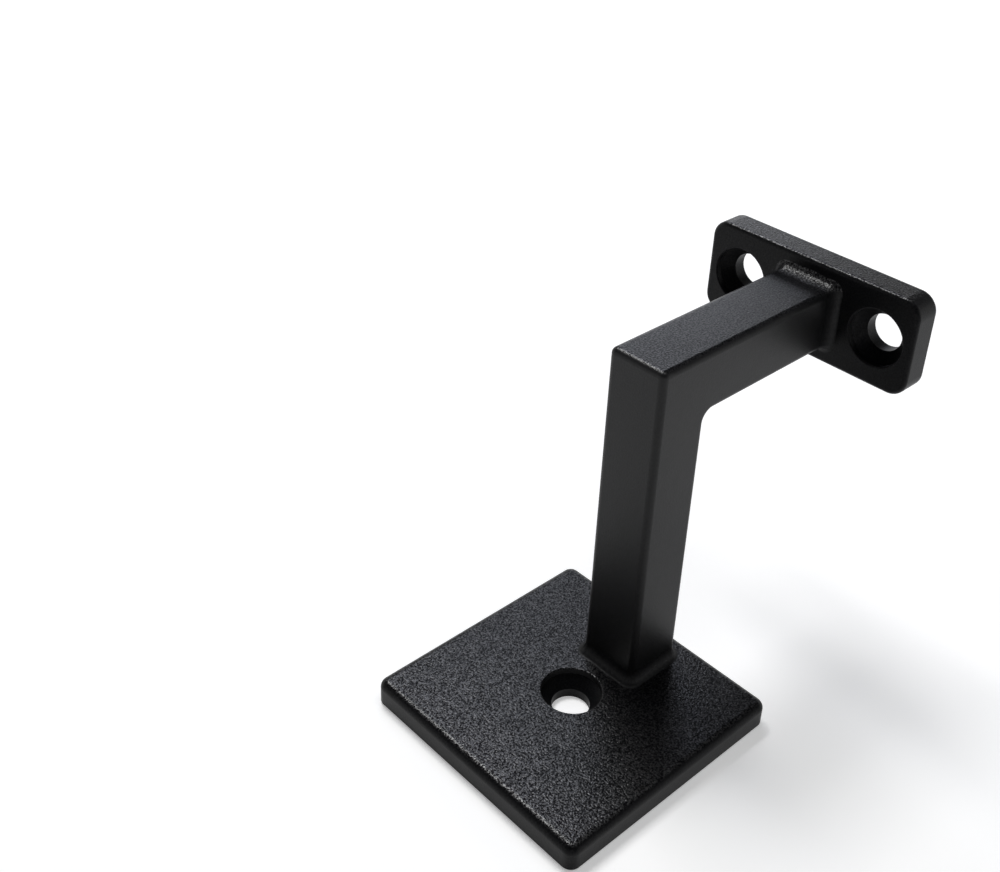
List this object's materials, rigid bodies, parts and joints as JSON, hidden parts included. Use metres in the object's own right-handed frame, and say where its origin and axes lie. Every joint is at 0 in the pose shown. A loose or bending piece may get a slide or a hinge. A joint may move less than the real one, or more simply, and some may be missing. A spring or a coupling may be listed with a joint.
{
  "type": "handrail bracket",
  "caption": "Right-angled square-bar bracket that carries a handrail clear of a wall, from a square wall plate to an oblong rail plate, both plates countersunk for screws.",
  "frame": {"origin": "centre of the wall plate's screw hole, on the plate's back face", "axes": "+Z away from the wall, square to the wall plate; +X along the riser bar, from the standoff bar to the rail plate's outer face, which is up once fitted; +Y along the rail plate's length, the way the handrail runs"},
  "size_m": [0.086, 0.05, 0.0745],
  "materials": {
    "powder_coat": "fine-textured satin black powder coat on steel"
  },
  "bodies": {
    "root": {"wall_plate": "powder_coat", "standoff_bar": "powder_coat", "riser_bar": "powder_coat", "rail_plate": "powder_coat", "wall_plate_weld": "powder_coat", "rail_plate_weld": "powder_coat", "corner_weld": "powder_coat"}
  },
  "joints": []
}
